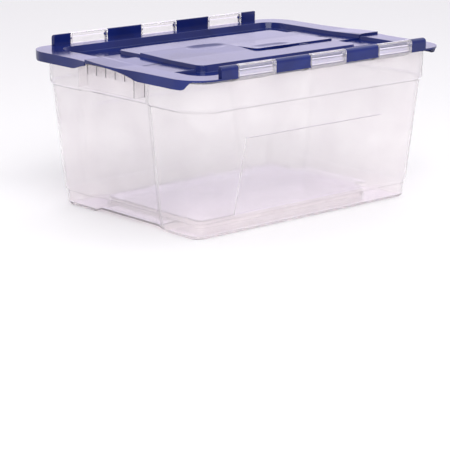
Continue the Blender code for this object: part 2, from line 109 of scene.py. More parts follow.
# Hand grips
GRIP_REACH = TUB_BOX[1].x
GRIP_HALF = 72 * MM
GRIP_BOTTOM = 217 * MM
GRIP_RIB_BOTTOM = 240 * MM
GRIP_CELLS = 6
GRIP_RIB = 2 * MM
GRIP_ROUND = 4 * MM

# Hinge runs along X, from the middle outwards
HINGE_STOPS = (40.1 * MM, 114 * MM, 193.8 * MM, 228 * MM)
BOX_SPANS = (
    (-HINGE_STOPS[2], -HINGE_STOPS[1]),
    (-HINGE_STOPS[0], HINGE_STOPS[0]),
    (HINGE_STOPS[1], HINGE_STOPS[2]),
)
HINGE_SIDE_GAP = 0.6 * MM
HINGE_NOTCH = 0.8 * MM                     # the flap's gaps clear the hinge boxes by this
HINGE_ROOT = 191 * MM                      # the boxes grow out of the wall from here
HINGE_BOX_BOTTOM = 249 * MM
HINGE_BOX_SLOPE = 8 * MM                   # their underside climbs by this to the outer face
HINGE_SINK = 4 * MM                        # they step out over the wall this far below the flange
HINGE_PLATE = 2.5 * MM
BOX_ROUND = 4 * MM
BOX_EDGE = 0.8 * MM                        # rounding of the boxes' two ends
PIN_RADIUS = 2.5 * MM
PIN_HOLE_RADIUS = 2.9 * MM
PIN_REACH = 4.1 * MM
PIN_ROOT = 3 * MM                          # the pins are rooted this deep in their knuckle

# Lid
LID_HALF = Vector((285, LID_BOX[1].y / MM)) * MM
LID_CORNER = 50 * MM
LID_BULGE = LID_BOX[1].x - LID_HALF.x
BULGE_HALF = 95 * MM
FLANGE_INNER = Vector((244, 181)) * MM
FLANGE_INNER_CORNER = 30 * MM
PANEL_HALF = Vector((175, 105)) * MM
PANEL_CORNER = 14 * MM
CHANNEL_DEPTH = 11 * MM
CHANNEL_DRAFT = 3 * MM
LAND_DEPTH = 6 * MM
LAND_HALF = 96 * MM
LAND_WALL = 3.5 * MM
LAND_SLOPE = 1.5 * MM                      # lean and rounding of each land's front edge
LAND_RUN = 8 * MM                          # length of the land's top that the rounding may use
SKIRT_DEPTH = 16 * MM                      # how far the flange's edge hangs at the ends
SKIRT_TURN = 38                            # degrees round the corner at which the skirt has ended
SKIRT_FADE = 14                            # degrees over which it climbs before that
EDGE_BEAD = 0.6 * MM
TOP_SOFT = 1.3 * MM                        # rounding of the lid's moulded steps, above and below
UNDER_SOFT = 0.8 * MM
SMALLEST_CORNER = 3 * MM
PANEL_EDGE = 4 * MM                        # a ring this far inside the panel's edge keeps its top flat
ARCH_HALF = 78 * MM
ARCH_DEPTH = 3.2 * MM
ARCH_POWER = 2.3                           # how late the skirt's arch turns down
SEAM_Y = 45 * MM
SEAM_GAP = 0.6 * MM
SEAM_ROUND = 8 * MM
RAMP_START = -34 * MM                      # from here to its free edge the tongue climbs gently
PANEL_RISE = 2.4 * MM
FLANGE_RISE = 3.4 * MM
FLANGE_RISE_RUN = 10 * MM
CLIMB_EASE = 0.08                          # share of the climb that is used to start it softly
PAD_CENTRE = Vector((-48, 28)) * MM
PAD_HALF = Vector((42, 17)) * MM
PAD_DEPTH = 2 * MM
PAD_MARGIN = 3 * MM                        # the top is cut finer this far round the pad
TOP_SKIN = 4 * MM                          # what lies less deep than this counts as the top
RECESS_CENTRE = Vector((43, -40)) * MM
RECESS_RADII = Vector((50, 18, 9)) * MM
RIB_START = -98 * MM                       # rib under the tongue's free edge, behind the other flap's recess
RIB_DEPTH = 9 * MM
LIP_SHARE = 0.6                            # the lip under the flange starts at this share of the swell

# Studio
BACKDROP_SIDE = (0.669, 0.743, 0.0)        # towards the bright backdrop, level
SKY_SIDES = (0.55, 1.5)                    # strength of the surround on the camera's side and behind
SKY_BANDS = {0.28: "#EFE8FF", 0.42: "#BBB6C4", 0.62: "#FFFFFF"}   # colours by height, low to high
SOFTBOX_SIZE = (2.2, 1.8)
SOFTBOX_PLACE = Vector((-1.1, -1.9, 2.1))
SOFTBOX_AIM = Vector((0, 0, 0.15))
FLOOR_HALF = 14
FLOOR_DEPTH = 20 * MM
FLOOR_GAP = 0.2 * MM                       # the floor lies this far under the foot
EYE_PLACE = (-2.103, -2.306, RIM_Z + 0.4925)
EYE_HEADING = -41.99
EYE_DIP = 14.37
EYE_ROLL = 0.37

# Fineness
CORNER_STEPS = 14
ROUND_STEPS = 5
EDGE_STEPS = 22                            # stations along half an end of the lid
TONGUE_ROWS = 26
PAD_COLUMNS = 28
RISE_COLUMNS = 5

# How far shapes that are joined or cut reach into, past or short of each other
BITE = 1 * MM
SLIP = 0.1 * MM
KNUCKLE_SINK = 1.2 * MM
CUT_REACH = 5 * MM
CUT_MARGIN = 30 * MM


# ---------------------------------------------------------------- settings

class ToteSizes(bpy.types.PropertyGroup):
    wall: bpy.props.FloatProperty(
        name="Tub wall", description="Thickness of the tub's wall",
        default=2.2 * MM, min=1 * MM, max=4 * MM, subtype="DISTANCE", unit="LENGTH")
    sheet: bpy.props.FloatProperty(
        name="Lid sheet", description="Thickness of the lid",
        default=2.4 * MM, min=1 * MM, max=4 * MM, subtype="DISTANCE", unit="LENGTH")
    edge: bpy.props.FloatProperty(
        name="Moulded edge", description="Radius of the rounded edges of the lid and the tub",
        default=1.2 * MM, min=0.2 * MM, max=2 * MM, subtype="DISTANCE", unit="LENGTH")


class ToteColours(bpy.types.PropertyGroup):
    clear: bpy.props.StringProperty(
        name="Tub", description="Colour of the clear plastic, sRGB hex", default="#FFFDFD")
    clear_shade: bpy.props.StringProperty(
        name="Tub, thicker", description="Colour where the melt flowed thicker, sRGB hex", default="#FAF7F8")
    navy: bpy.props.StringProperty(
        name="Lid", description="Colour of the navy plastic, sRGB hex", default="#16256B")
    navy_shade: bpy.props.StringProperty(
        name="Lid, deeper", description="Deeper navy of the flow marks, sRGB hex", default="#121D58")
    floor: bpy.props.StringProperty(
        name="Floor", description="Colour of the studio floor, sRGB hex", default="#F2F1F1")


class ToteStudio(bpy.types.PropertyGroup):
    key_power: bpy.props.FloatProperty(
        name="Key light", description="Power of the big soft light", default=60.0, min=0.0, unit="POWER")
    sky: bpy.props.FloatProperty(
        name="Surround", description="Brightness of the white studio all round", default=1.0, min=0.0)
    lens: bpy.props.FloatProperty(
        name="Lens", description="Focal length of the camera", default=150.84, min=20.0, unit="CAMERA")


# ---------------------------------------------------------------- mesh helpers

def mesh_object(name, bm):
    """Make an object from a bmesh, with its faces pointing out."""
    bmesh.ops.recalc_face_normals(bm, faces=bm.faces)
    mesh = bpy.data.meshes.new(name)
    bm.to_mesh(mesh)
    bm.free()
    made = bpy.data.objects.new(name, mesh)
    bpy.context.scene.collection.objects.link(made)
    return made


def combine(target, tool, operation):
    """Boolean the tool into the target, and remove the tool."""
    boolean = target.modifiers.new("shape", "BOOLEAN")
    boolean.operation = operation
    boolean.solver = "EXACT"
    boolean.object = tool
    shaped = target.evaluated_get(bpy.context.evaluated_depsgraph_get())
    mesh = bpy.data.meshes.new_from_object(shaped)
    target.modifiers.clear()
    old_mesh = target.data
    target.data = mesh
    bpy.data.meshes.remove(old_mesh)
    bpy.data.objects.remove(tool, do_unlink=True)


def loft(name, rings):
    """A closed solid through rings of equal point count, capped at both ends."""
    bm = bmesh.new()
    loops = [[bm.verts.new(point) for point in ring] for ring in rings]
    count = len(loops[0])
    for lower, upper in zip(loops, loops[1:]):
        for i in range(count):
            j = (i + 1) % count
            bm.faces.new((lower[i], lower[j], upper[j], upper[i]))
    bm.faces.new(loops[0])
    bm.faces.new(loops[-1])
    return mesh_object(name, bm)


def full_ring(quarter):
    """Mirror a quarter's points, which run from the X axis to the Y axis, into a whole ring."""
    second = [(-x, y, z) for x, y, z in reversed(quarter)]
    third = [(-x, -y, z) for x, y, z in quarter]
    fourth = [(x, -y, z) for x, y, z in reversed(quarter)]
    return list(quarter) + second + third + fourth


def arc(centre, radius, start, end, steps):
    """Points of an arc between two angles in degrees."""
    points = []
    for step in range(steps + 1):
        angle = math.radians(start + (end - start) * step / steps)
        points.append((centre[0] + radius * math.cos(angle), centre[1] + radius * math.sin(angle)))
    return points


def soften(points, radius, steps=3, closed=False):
    """Round the corners of a path by up to a radius, with a smooth curve through each corner."""
    count = len(points)
    path = []
    for i, here in enumerate(points):
        if not closed and i in (0, count - 1):
            path.append(Vector(here))
            continue
        here = Vector(here)
        before = Vector(points[i - 1]) - here
        after = Vector(points[(i + 1) % count]) - here
        start = here + before * min(0.45, radius / max(before.length, 1e-9))
        end = here + after * min(0.45, radius / max(after.length, 1e-9))
        for step in range(steps + 1):
            t = step / steps
            path.append(start * (1 - t) ** 2 + here * 2 * t * (1 - t) + end * t ** 2)
    return path


def box(name, low, high):
    bm = bmesh.new()
    middle = (Vector(low) + Vector(high)) / 2
    size = Vector(high) - Vector(low)
    bmesh.ops.create_cube(bm, size=1, matrix=Matrix.Translation(middle) @ Matrix.Diagonal((*size, 1)))
    return mesh_object(name, bm)


def bar_along_x(name, outline, start, end, rounding=0.0):
    """Extrude a (y, z) outline along X. Its two ends are rounded over by drawing the outline in."""
    centre = sum((Vector(point) for point in outline), Vector((0, 0))) / len(outline)
    half = max((Vector(point) - centre).length for point in outline)
    rings = []
    if rounding:
        for step in range(ROUND_STEPS):
            angle = math.radians(90) * step / ROUND_STEPS
            shrink = 1 - rounding * (1 - math.sin(angle)) / half
            rings.append((start + rounding * (1 - math.cos(angle)), shrink))
        rings += [(start + end - x, shrink) for x, shrink in reversed(rings)]
        rings[ROUND_STEPS:ROUND_STEPS] = [(start + rounding, 1.0), (end - rounding, 1.0)]
    else:
        rings = [(start, 1.0), (end, 1.0)]
    solid = []
    for x, shrink in rings:
        ring = [centre + (Vector(point) - centre) * shrink for point in outline]
        solid.append([(x, y, z) for y, z in ring])
    return loft(name, solid)


def slab_up(name, outline, low, high):
    """Extrude an (x, y) outline upwards."""
    return loft(name, [[(x, y, z) for x, y in outline] for z in (low, high)])


def round_bar(name, radius, start, end, y, z):
    return bar_along_x(name, arc((y, z), radius, 0, 345, 23), start, end)


def ellipsoid(name, centre, radii):
    bm = bmesh.new()
    place = Matrix.Translation(centre) @ Matrix.Diagonal((*radii, 1))
    bmesh.ops.create_uvsphere(bm, u_segments=64, v_segments=32, radius=1, matrix=place)
    return mesh_object(name, bm)


def corner_arc(half, radius, z):
    """Points of the rounded corner in the +X +Y quarter."""
    centre = (half[0] - radius, half[1] - radius)
    return [(x, y, z) for x, y in arc(centre, radius, 0, 90, CORNER_STEPS)]


def smooth_finish(made, material, angle=32):
    """Give a piece its material, and shade it so that flat faces stay flat beside rounded edges."""
    made.data.materials.clear()
    made.data.materials.append(material)
    made.data.shade_smooth()
    made.data.set_sharp_from_angle(angle=math.radians(angle))
    flat = made.modifiers.new("flat faces stay flat", "WEIGHTED_NORMAL")
    flat.keep_sharp = True
    flat.weight = 100


# ---------------------------------------------------------------- materials

def hex_colour(text):
    """An sRGB hex colour as the linear colour that shaders take."""
    value = text.lstrip("#")
    linear = []
    for i in (0, 2, 4):
        part = int(value[i:i + 2], 16) / 255
        linear.append(part / 12.92 if part <= 0.04045 else ((part + 0.055) / 1.055) ** 2.4)
    return (*linear, 1.0)


def add_node(tree, kind, settings=None, links=None):
    """Add a shader node, set its properties and inputs, and link sockets into it."""
    node = tree.nodes.new(kind)
    for name, value in (settings or {}).items():
        if name in node.inputs:
            node.inputs[name].default_value = value
        else:
            setattr(node, name, value)
    for name, socket in (links or {}).items():
        tree.links.new(socket, node.inputs[name])
    return node


def new_material(name):
    material = bpy.data.materials.new(name)
    material.use_nodes = True
    tree = material.node_tree
    tree.nodes.clear()
    return material, tree


def mixed_colour(tree, factor, first, second):
    """A colour between two hex colours, by a factor."""
    ramp = add_node(tree, "ShaderNodeValToRGB", links={"Fac": factor})
    for element, place, text in zip(ramp.color_ramp.elements, (0.35, 0.65), (first, second)):
        element.position = place
        element.color = hex_colour(text)
    return ramp.outputs["Color"]


def per_metre(millimetres):
    """A texture scale that repeats about every so many millimetres."""
    return 1000 / millimetres


def clear_polypropylene(colours):
    """Clear random-copolymer polypropylene, injection moulded in a polished tool. It gives the eye a
    slightly milky, faintly pink wall that blurs what is behind it, with soft gloss and faint flow marks."""
    material, tree = new_material("moulded_clear_polypropylene")
    place = add_node(tree, "ShaderNodeTexCoord").outputs["Object"]
    flow = add_node(tree, "ShaderNodeTexNoise",
                    {"Scale": per_metre(70), "Detail": 3.0, "Distortion": 1.2}, {"Vector": place})
    colour = mixed_colour(tree, flow.outputs["Fac"], colours.clear, colours.clear_shade)
    rough = add_node(tree, "ShaderNodeMapRange",
                     {"From Min": 0.3, "From Max": 0.7, "To Min": 0.06, "To Max": 0.11},
                     {"Value": flow.outputs["Fac"]})
    # The orange peel of the tool is about half a millimetre; it is drawn at 2.5 mm so that it shows.
    peel = add_node(tree, "ShaderNodeTexNoise", {"Scale": per_metre(2.5), "Detail": 2.0}, {"Vector": place})
    bump = add_node(tree, "ShaderNodeBump", {"Strength": 0.08, "Distance": 0.3 * MM},
                    {"Height": peel.outputs["Fac"]})
    shader = add_node(tree, "ShaderNodeBsdfPrincipled",
                      {"IOR": 1.49, "Metallic": 0.0, "Transmission Weight": 0.9},
                      {"Base Color": colour, "Roughness": rough.outputs["Result"],
                       "Normal": bump.outputs["Normal"]})
    # Lamps shine through the wall, which keeps the inside as bright as it is in life.
    path = add_node(tree, "ShaderNodeLightPath")
    open_way = add_node(tree, "ShaderNodeBsdfTransparent", {"Color": hex_colour("#F3F0F1")})
    surface = add_node(tree, "ShaderNodeMixShader", links={"Fac": path.outputs["Is Shadow Ray"]})
    tree.links.new(shader.outputs["BSDF"], surface.inputs[1])
    tree.links.new(open_way.outputs["BSDF"], surface.inputs[2])
    add_node(tree, "ShaderNodeOutputMaterial", links={"Surface": surface.outputs["Shader"]})
    return material


def navy_polypropylene(colours):
    """Navy pigmented polypropylene, injection moulded with a satin gloss. It gives the eye a deep blue on
    faces seen square on and a pale lilac mirror of the studio on flat tops seen at a glance."""
    material, tree = new_material("moulded_navy_polypropylene")
    place = add_node(tree, "ShaderNodeTexCoord").outputs["Object"]
    flow = add_node(tree, "ShaderNodeTexNoise",
                    {"Scale": per_metre(90), "Detail": 4.0, "Distortion": 0.8}, {"Vector": place})
    colour = mixed_colour(tree, flow.outputs["Fac"], colours.navy, colours.navy_shade)
    rough = add_node(tree, "ShaderNodeMapRange",
                     {"From Min": 0.3, "From Max": 0.7, "To Min": 0.1, "To Max": 0.15},
                     {"Value": flow.outputs["Fac"]})
    # The tool's fine satin grain is about 0.2 mm; it is drawn at 1.6 mm so that it shows.
    grain = add_node(tree, "ShaderNodeTexNoise", {"Scale": per_metre(1.6), "Detail": 2.0}, {"Vector": place})
    bump = add_node(tree, "ShaderNodeBump", {"Strength": 0.06, "Distance": 0.2 * MM},
                    {"Height": grain.outputs["Fac"]})
    shader = add_node(tree, "ShaderNodeBsdfPrincipled",
                      {"IOR": 1.49, "Metallic": 0.0, "Specular IOR Level": 0.38},
                      {"Base Color": colour, "Roughness": rough.outputs["Result"],
                       "Normal": bump.outputs["Normal"]})
    add_node(tree, "ShaderNodeOutputMaterial", links={"Surface": shader.outputs["BSDF"]})
    return material


def studio_paper(colours):
    """Matt seamless studio paper: an even pale sweep with barely visible fibre."""
    material, tree = new_material("seamless_studio_paper")
    place = add_node(tree, "ShaderNodeTexCoord").outputs["Object"]
    fibre = add_node(tree, "ShaderNodeTexNoise", {"Scale": per_metre(4), "Detail": 2.0}, {"Vector": place})
    bump = add_node(tree, "ShaderNodeBump", {"Strength": 0.03, "Distance": 0.2 * MM},
                    {"Height": fibre.outputs["Fac"]})
    shader = add_node(tree, "ShaderNodeBsdfPrincipled",
                      {"Base Color": hex_colour(colours.floor), "Roughness": 0.9, "IOR": 1.45,
                       "Specular IOR Level": 0.1},
                      {"Normal": bump.outputs["Normal"]})
    add_node(tree, "ShaderNodeOutputMaterial", links={"Surface": shader.outputs["BSDF"]})
    return material


# ---------------------------------------------------------------- tub

def tub_level(z, inward=0.0, dent=0.0, inset=0.0, lift=0.0):
    """One level of the leaning wall: height, half sizes, corner, dent, inset and lift of the ends."""
    lean = TAPER * z - inward
    return Vector((z, BASE_HALF.x + lean, BASE_HALF.y + lean, BASE_CORNER + lean, dent, inset, lift))


def collar_level(z, half, inward=0.0, dent=DENT_DEPTH):
    return Vector((z, half.x - inward, half.y - inward, COLLAR_CORNER - inward, dent, 0.0, 0.0))


def foot_level(z, inward, lift):
    corner = max(BASE_CORNER - inward, TROUGH_CORNER)
    return Vector((z, BASE_HALF.x - inward, BASE_HALF.y - inward, corner, 0.0, 0.0, lift))


def tub_ring(level):
    """A rounded rectangle at a level, its ends dented and its long sides inset with soft steps."""
    z, half_x, half_y, corner, dent, inset, lift = level
    dent_half = DENT_HALF[0] + (DENT_HALF[1] - DENT_HALF[0]) * min(max(z, 0) / COLLAR_Z, 1)
    inset_half = INSET_HALF[0] + (INSET_HALF[1] - INSET_HALF[0]) * min(max(z, 0) / INSET_TOP, 1)
    steps = [(half_x - dent, 0.0), (half_x - dent, dent_half - DENT_RAMP), (half_x, dent_half),
             (half_x, half_y - corner - CORNER_RUN)]
    quarter = []
    for x, y in soften(steps, DENT_SOFT)[1:-1]:
        share = min(max((dent_half - y) / DENT_RAMP, 0.0), 1.0)
        quarter.append((x, y, z + lift * share))
    quarter += corner_arc((half_x, half_y), corner, z)
    steps = [(half_x - corner - CORNER_RUN, half_y), (inset_half + INSET_RAMP, half_y),
             (inset_half, half_y - inset), (0.0, half_y - inset)]
    quarter += [(x, y, z) for x, y in soften(steps, CORNER_RUN)[1:-1]]
    return full_ring(quarter)


def wall_levels(inward):
    """The wall from the foot's top to the collar's top."""
    return [
        tub_level(FOOT_TOP + INSET_START[0], inward, DENT_DEPTH),
        tub_level(FOOT_TOP + INSET_START[1], inward, DENT_DEPTH, INSET_DEPTH),
        tub_level(INSET_TOP - INSET_STEP, inward, DENT_DEPTH, INSET_DEPTH),
        tub_level(INSET_TOP, inward, DENT_DEPTH),
        tub_level(COLLAR_Z - COLLAR_BLEND, inward, DENT_DEPTH),
        collar_level(COLLAR_Z + COLLAR_BLEND, COLLAR_HALF, inward),
    ]


def tub_shell(wall, sheet):
    """The thin-walled tub with its raised floor, foot, collar and rim."""
    rim_top = RIM_Z - sheet - LID_GAP
    foot_edge = FOOT_STEP + FOOT_EDGE
    riser = FOOT_STEP + FOOT_WIDTH
    levels = [
        foot_level(FLOOR_RISE, riser + RISER_DRAFT, 0.0),
        foot_level(0.0, riser, END_LIFT),
        foot_level(0.0, foot_edge, END_LIFT),
        tub_level(FOOT_EDGE, FOOT_STEP, DENT_DEPTH, 0.0, END_LIFT),
        tub_level(FOOT_TOP, FOOT_STEP, DENT_DEPTH),
    ]
    levels += wall_levels(0.0)
    levels += [
        collar_level(rim_top - RIM_THICK, COLLAR_TOP_HALF),
        collar_level(rim_top - RIM_THICK, RIM_HALF, dent=0.0),
        collar_level(rim_top, RIM_HALF, dent=0.0),
        collar_level(rim_top, COLLAR_TOP_HALF, wall),
        collar_level(rim_top - RIM_THICK, COLLAR_TOP_HALF, wall),
    ]
    levels += list(reversed(wall_levels(wall)))
    levels += [
        tub_level(FOOT_TOP, FOOT_STEP + wall, DENT_DEPTH),
        tub_level(FOOT_EDGE + BITE, FOOT_STEP + wall, DENT_DEPTH, 0.0, END_LIFT),
        foot_level(wall, foot_edge + wall, END_LIFT),
        foot_level(wall, riser - wall, END_LIFT),
        foot_level(FLOOR_RISE + wall, riser - wall + RISER_DRAFT, 0.0),
    ]
    return loft("clear_tub", [tub_ring(level) for level in soften(levels, LEVEL_SOFT)])


def add_hinge_boxes(tub, wall, edge):
    """Three hollow hinge boxes on each long side, with pin holes in their end plates."""
    top = AXIS_Z + KNUCKLE_HALF
    inner = AXIS_Y - KNUCKLE_DEPTH
    outer = AXIS_Y + KNUCKLE_DEPTH
    step = RIM_Z - HINGE_SINK
    profile = [(HINGE_ROOT, HINGE_BOX_BOTTOM), (outer, HINGE_BOX_BOTTOM + HINGE_BOX_SLOPE)]
    profile += arc((outer - BOX_ROUND, top - BOX_ROUND), BOX_ROUND, 0, 90, 8)
    profile += [(inner + edge, top), (inner, top - edge), (inner, step), (HINGE_ROOT, step)]
    for side in (-1, 1):
        outline = [(side * y, z) for y, z in profile]
        for low, high in BOX_SPANS:
            start = low + HINGE_SIDE_GAP
            end = high - HINGE_SIDE_GAP
            combine(tub, bar_along_x("hinge_box", outline, start, end, BOX_EDGE), "UNION")
            cell = (start + HINGE_PLATE, end - HINGE_PLATE)
            faces = sorted((side * (inner - BITE), side * (outer - wall)))
            combine(tub, box("upper_cell", (cell[0], faces[0], RIM_Z), (cell[1], faces[1], top - wall)),
                    "DIFFERENCE")
            faces = sorted((side * (inner + wall), side * (outer - wall)))
            combine(tub, box("lower_cell", (cell[0], faces[0], HINGE_BOX_BOTTOM - CUT_REACH),
                             (cell[1], faces[1], RIM_Z - wall)), "DIFFERENCE")
            combine(tub, round_bar("pin_hole", PIN_HOLE_RADIUS, start - BITE, end + BITE,
                                   side * AXIS_Y, AXIS_Z), "DIFFERENCE")


def add_hand_grips(tub, wall, sheet):
    """A hollow grip at each end, open underneath, with ribs across it."""
    rim_top = RIM_Z - sheet - LID_GAP
    root = COLLAR_HALF.x - DENT_DEPTH - BITE
    hollow = COLLAR_HALF.x - DENT_DEPTH + BITE
    outline = [(root, GRIP_HALF), (root, -GRIP_HALF)]
    outline += arc((GRIP_REACH - GRIP_ROUND, GRIP_ROUND - GRIP_HALF), GRIP_ROUND, -90, 0, 8)
    outline += arc((GRIP_REACH - GRIP_ROUND, GRIP_HALF - GRIP_ROUND), GRIP_ROUND, 0, 90, 8)
    for side in (-1, 1):
        grip = slab_up("grip", outline, GRIP_BOTTOM, rim_top)
        if side < 0:
            grip.data.transform(Matrix.Rotation(math.pi, 4, "Z"))
        combine(tub, grip, "UNION")
        span = sorted((side * hollow, side * (GRIP_REACH - wall)))
        inside = GRIP_HALF - wall
        combine(tub, box("grip_mouth", (span[0], -inside, GRIP_BOTTOM - CUT_REACH),
                         (span[1], inside, GRIP_RIB_BOTTOM)), "DIFFERENCE")
        pitch = (2 * inside + GRIP_RIB) / GRIP_CELLS
        for cell in range(GRIP_CELLS):
            start = -inside + cell * pitch
            combine(tub, box("grip_cell", (span[0], start, GRIP_RIB_BOTTOM - BITE),
                             (span[1], start + pitch - GRIP_RIB, rim_top - RIM_THICK)), "DIFFERENCE")


# ---------------------------------------------------------------- flaps

def skirt_depth(y):
    """How far the flange's edge hangs down at a place along the end of the lid."""
    along = min(abs(y) / ARCH_HALF, 1)
    return ARCH_DEPTH + (SKIRT_DEPTH - ARCH_DEPTH) * along ** ARCH_POWER


def lid_ring(half, corner, z, sheet, bulge=0.0, hang=0.0):
    """One ring of the lid. With hang, its ends drop by the depth of the skirt."""
    straight = half[1] - corner
    quarter = []
    for step in range(1, EDGE_STEPS):
        y = straight * step / EDGE_STEPS
        swell = bulge * (1 + math.cos(math.pi * min(y / BULGE_HALF, 1))) / 2
        quarter.append((half[0] + swell, y, z - hang * (skirt_depth(y) - sheet)))
    for step, (x, y, level) in enumerate(corner_arc(half, corner, z)):
        turn = 90 * step / CORNER_STEPS
        fall = min(max((SKIRT_TURN - turn) / SKIRT_FADE, 0.0), 1.0)
        drop = hang * max(fall * (SKIRT_DEPTH - sheet), EDGE_BEAD)
        quarter.append((x, y, level - drop))
    return full_ring(quarter)


def lid_profile(sheet):
    """The lid's section from the panel out to the flange's edge and back underneath, as half sizes,
    corner, height, bulge and hang."""
    low = RIM_Z - CHANNEL_DEPTH
    under = RIM_Z - sheet
    inner = FLANGE_INNER
    draft = CHANNEL_DRAFT
    edge = LID_CORNER

    def row(half, grow, corner, z, bulge=0.0, hang=0.0):
        return Vector((half.x + grow, half.y + grow, corner + grow, z, bulge, hang))

    outer = [
        row(PANEL_HALF, -PANEL_EDGE, PANEL_CORNER, RIM_Z),
        row(PANEL_HALF, 0.0, PANEL_CORNER, RIM_Z),
        row(PANEL_HALF, draft, PANEL_CORNER, low),
        row(inner, -draft, FLANGE_INNER_CORNER, low),
        row(inner, 0.0, FLANGE_INNER_CORNER, RIM_Z),
        row(LID_HALF, 0.0, edge, RIM_Z, LID_BULGE),
        row(LID_HALF, 0.0, edge, under, LID_BULGE, 1.0),
    ]
    lower = [
        row(LID_HALF, -sheet, edge, under, LID_BULGE, 1.0),
        row(LID_HALF, -sheet, edge, under, LID_BULGE),
        row(inner, sheet, FLANGE_INNER_CORNER, under),
        row(inner, sheet - draft, FLANGE_INNER_CORNER, low - sheet),
        row(PANEL_HALF, draft - sheet, PANEL_CORNER, low - sheet),
        row(PANEL_HALF, -sheet, PANEL_CORNER, under),
    ]
    return soften(outer, TOP_SOFT, 4) + soften(lower, UNDER_SOFT, 2)


def lid_shell(name, sheet):
    rings = []
    for half_x, half_y, corner, z, bulge, hang in lid_profile(sheet):
        rings.append(lid_ring((half_x, half_y), max(corner, SMALLEST_CORNER), z, sheet, bulge, hang))
    return loft(name, rings)


def part_front(lid):
    """Keep the front flap: it reaches past the middle on the left and stops short on the right."""
    far_x = LID_HALF.x + CUT_MARGIN
    far_y = -(LID_HALF.y + CUT_MARGIN)
    back = SEAM_Y - SEAM_GAP
    short = -SEAM_Y - SEAM_GAP
    outline = [(-far_x, far_y), (far_x, far_y), (far_x, short)]
    outline += arc((-SEAM_GAP + SEAM_ROUND, short + SEAM_ROUND), SEAM_ROUND, 270, 180, 8)
    outline += arc((-SEAM_GAP - SEAM_ROUND, back - SEAM_ROUND), SEAM_ROUND, 0, 90, 8)
    outline.append((-far_x, back))
    combine(lid, slab_up("front_part", outline, RIM_Z - CUT_MARGIN, RIM_Z + CUT_MARGIN), "INTERSECT")


def add_end_lands(flap, sheet):
    """Raise the channel floor at the two ends, and keep it a thin shell from below."""
    low = RIM_Z - CHANNEL_DEPTH
    top = RIM_Z - LAND_DEPTH
    inner = PANEL_HALF.x + BITE
    outer = FLANGE_INNER.x - BITE
    for side, back in ((-1, SEAM_Y - SEAM_GAP), (1, -SEAM_Y - SEAM_GAP)):
        span = sorted((side * inner, side * outer))
        bottom = low - sheet / 2
        nose = [(-LAND_HALF - LAND_SLOPE, bottom), (-LAND_HALF, top), (-LAND_HALF + LAND_RUN, top)]
        outline = [tuple(point) for point in soften(nose, LAND_SLOPE, 4)]
        outline += [(back - LID_GAP, top), (back - LID_GAP, bottom)]
        combine(flap, bar_along_x("land", outline, *span), "UNION")
        span = sorted((side * (inner + LAND_WALL), side * (outer - LAND_WALL)))
        combine(flap, box("under_land", (span[0], -LAND_HALF + LAND_WALL, low - 2 * sheet),
                          (span[1], back - LAND_WALL, top - sheet)), "DIFFERENCE")


def add_ribs(flap, sheet):
    """Ribs hanging from the tongue's free edge: one closes the finger recess, one the step of the flange."""
    back = SEAM_Y - SEAM_GAP
    start = -LID_HALF.x - LIP_SHARE * LID_BULGE
    end = -FLANGE_INNER.x - 2 * sheet
    lip = box("lip", (start, back - sheet, RIM_Z - 2 * sheet), (end, back - SLIP, RIM_Z - BITE))
    combine(flap, lip, "UNION")
    corner = (-SEAM_GAP - SEAM_ROUND, back - SEAM_ROUND)
    outline = arc(corner, SEAM_ROUND - SLIP, 0, 90, 8) + [(RIB_START, back - SLIP)]
    outline += [(RIB_START, back - sheet)] + arc(corner, SEAM_ROUND - sheet, 90, 0, 8)
    combine(flap, slab_up("rib", outline, RIM_Z - RIB_DEPTH, RIM_Z - BITE), "UNION")


def add_finger_recess(flap, sheet):
    """A thin bowl at the edge of the flap's short part, where fingers reach under the other flap."""
    edge = -SEAM_Y - SEAM_GAP - LID_GAP
    centre = Vector((*RECESS_CENTRE, RIM_Z))
    skin = Vector((sheet, sheet, sheet))
    reach = RECESS_RADII + 2 * skin
    bowl = ellipsoid("bowl", centre, RECESS_RADII + skin)
    combine(bowl, box("bowl_part", centre - reach, (centre[0] + reach[0], edge, RIM_Z - BITE)), "INTERSECT")
    combine(flap, bowl, "UNION")
    hollow = ellipsoid("recess", centre, RECESS_RADII)
    above = (centre[0] + reach[0], edge + 2 * SEAM_GAP, RIM_Z + reach[2])
    combine(hollow, box("recess_part", centre - reach, above), "INTERSECT")
    combine(flap, hollow, "DIFFERENCE")


def cut_rows(flap):
    """Cut the tongue into rows, and its top by the thumb pad into small squares, so that it can be bent."""
    bm = bmesh.new()
    bm.from_mesh(flap.data)
    back = SEAM_Y - SEAM_GAP

    def slice_at(place, normal, faces):
        edges = {edge for face in faces for edge in face.edges}
        verts = {vert for face in faces for vert in face.verts}
        bmesh.ops.bisect_plane(bm, geom=[*faces, *edges, *verts], dist=1e-7, plane_co=place, plane_no=normal)

    for step in range(TONGUE_ROWS):
        y = RAMP_START + (back - RAMP_START) * step / TONGUE_ROWS
        slice_at((0, y, 0), (0, 1, 0), list(bm.faces))
    for step in range(RISE_COLUMNS):
        x = -FLANGE_INNER.x - FLANGE_RISE_RUN * step / (RISE_COLUMNS - 1)
        climbing = [face for face in bm.faces if face.calc_center_median().y > RAMP_START]
        slice_at((x, 0, 0), (1, 0, 0), climbing)
    for step in range(PAD_COLUMNS + 1):
        x = PAD_CENTRE.x + PAD_HALF.x * (2 * step / PAD_COLUMNS - 1)
        near = []
        for face in bm.faces:
            middle = face.calc_center_median()
            level = abs(face.normal.z) > 0.98
            if level and middle.y > PAD_CENTRE.y - PAD_HALF.y - PAD_MARGIN:
                spread = [vert.co.x for vert in face.verts]
                if min(spread) < x < max(spread) and middle.z > RIM_Z - TOP_SKIN:
                    near.append(face)
        slice_at((x, 0, 0), (1, 0, 0), near)
    bm.to_mesh(flap.data)
    bm.free()


